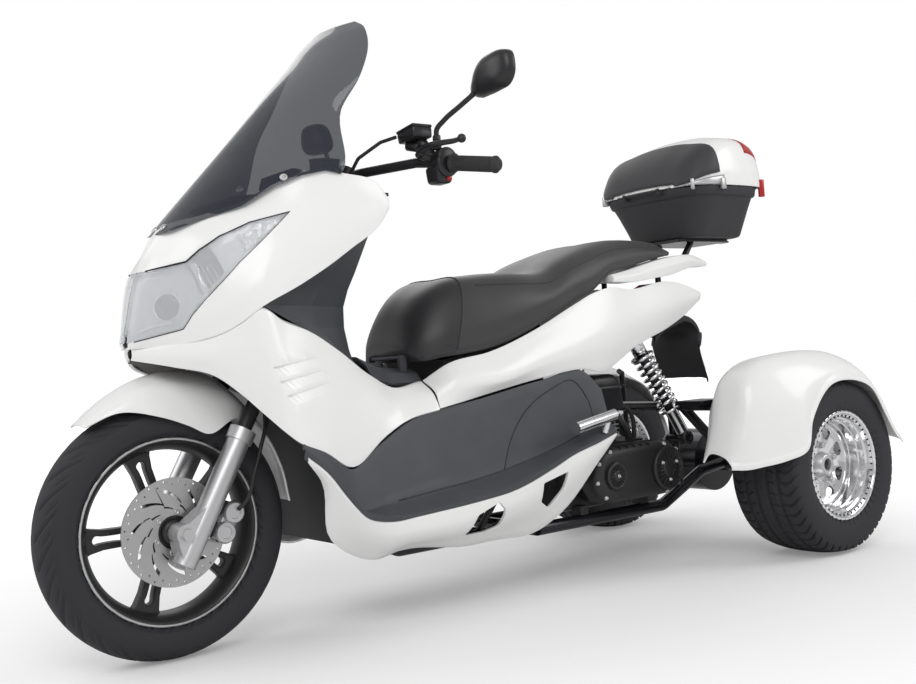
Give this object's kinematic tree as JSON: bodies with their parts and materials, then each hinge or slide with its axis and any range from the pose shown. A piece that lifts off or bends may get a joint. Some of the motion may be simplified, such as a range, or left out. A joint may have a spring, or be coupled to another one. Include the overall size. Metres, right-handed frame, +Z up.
{
  "type": "motorized trike",
  "caption": "Step-through motor trike: one steered front wheel with fork and disc brake, tall smoked windshield, stepped seat, two wide rear wheels under fenders, and a top case.",
  "frame": {"origin": "on the ground at the middle of the vehicle's length and width", "axes": "+X forward, +Y to the vehicle's left, +Z up"},
  "size_m": [2.17, 1.034, 1.34],
  "materials": {
    "white_gloss": "gloss",
    "black_textured": "fine grained, matte",
    "black_gloss": "gloss",
    "smoked_screen": "dark tinted, gloss",
    "lens": "clear, gloss",
    "lamp_inner": "metallised",
    "red_lens": "gloss",
    "seat_vinyl": "satin, stitched",
    "cast_silver": "satin",
    "polished_alloy": "polished",
    "black_alloy": "satin",
    "disc_steel": "ground",
    "engine_black": "satin",
    "shock_chrome": "chrome",
    "tyre_rubber": "matte",
    "soft_rubber": "matte",
    "steel_axle": "zinc plated"
  },
  "bodies": {
    "chassis": {"frame_tubes": "black_gloss", "arch_roof": "black_textured", "splash_guard": "black_textured", "front_cowl": "white_gloss", "headlight_left": "lens", "headlight_right": "lens", "lamp_housing": "lamp_inner", "windshield": "smoked_screen", "leg_shield": "black_textured", "dash_panel": "black_textured", "instrument_cluster": "black_textured", "side_fairing_left": "white_gloss", "side_fairing_right": "white_gloss", "tunnel_cover": "black_textured", "foot_panel_left": "black_textured", "foot_panel_right": "black_textured", "lower_fairing_left": "white_gloss", "lower_fairing_right": "white_gloss", "tail_cover_left": "white_gloss", "tail_cover_right": "white_gloss", "grab_rail": "white_gloss", "tail_lamp": "red_lens", "rear_mudguard": "black_textured", "storage_tub": "black_textured", "case_rack": "black_gloss", "case_base": "black_textured", "engine_block": "engine_black", "belt_case": "engine_black", "air_box": "black_textured", "muffler": "black_alloy", "axle_carrier": "black_gloss", "rear_fender_left": "white_gloss", "rear_fender_right": "white_gloss", "shock_absorbers": "shock_chrome", "passenger_pegs": "cast_silver"},
    "steering": {"fork_yoke": "black_alloy", "fork_legs": "cast_silver", "front_axle": "steel_axle", "front_fender": "white_gloss", "brake_caliper": "cast_silver", "handlebar": "black_alloy", "grips": "soft_rubber", "hand_controls": "black_textured", "mirrors": "black_textured", "control_cables": "soft_rubber"},
    "front_wheel": {"front_tyre": "tyre_rubber", "front_rim": "black_alloy", "brake_disc": "disc_steel"},
    "rear_wheel_left": {"rear_tyre_left": "tyre_rubber", "rear_rim_left": "polished_alloy"},
    "rear_wheel_right": {"rear_tyre_right": "tyre_rubber", "rear_rim_right": "polished_alloy"},
    "seat": {"seat": "seat_vinyl"},
    "case_lid": {"case_lid": "white_gloss"}
  },
  "joints": [
    {"name": "steering", "type": "hinge", "parent": "chassis", "child": "steering", "pos_m": [0.77537, 0, 0.2345], "axis": [-0.5, 0, 0.866], "range_deg": [-36, 36]},
    {"name": "front_wheel_spin", "type": "hinge", "parent": "steering", "child": "front_wheel", "pos_m": [0.823, 0, 0.262], "axis": [0, 1, 0], "continuous": true},
    {"name": "rear_wheel_left_spin", "type": "hinge", "parent": "chassis", "child": "rear_wheel_left", "pos_m": [-0.817, 0.401, 0.2295], "axis": [0, 1, 0], "continuous": true},
    {"name": "rear_wheel_right_spin", "type": "hinge", "parent": "chassis", "child": "rear_wheel_right", "pos_m": [-0.817, -0.401, 0.2295], "axis": [0, 1, 0], "continuous": true},
    {"name": "seat_hinge", "type": "hinge", "parent": "chassis", "child": "seat", "pos_m": [0.251, 0, 0.582], "axis": [0, 1, 0], "range_deg": [0, 32]},
    {"name": "case_lid_hinge", "type": "hinge", "parent": "chassis", "child": "case_lid", "pos_m": [-0.655, 0, 1.003], "axis": [0, 1, 0], "range_deg": [0, 75]}
  ]
}
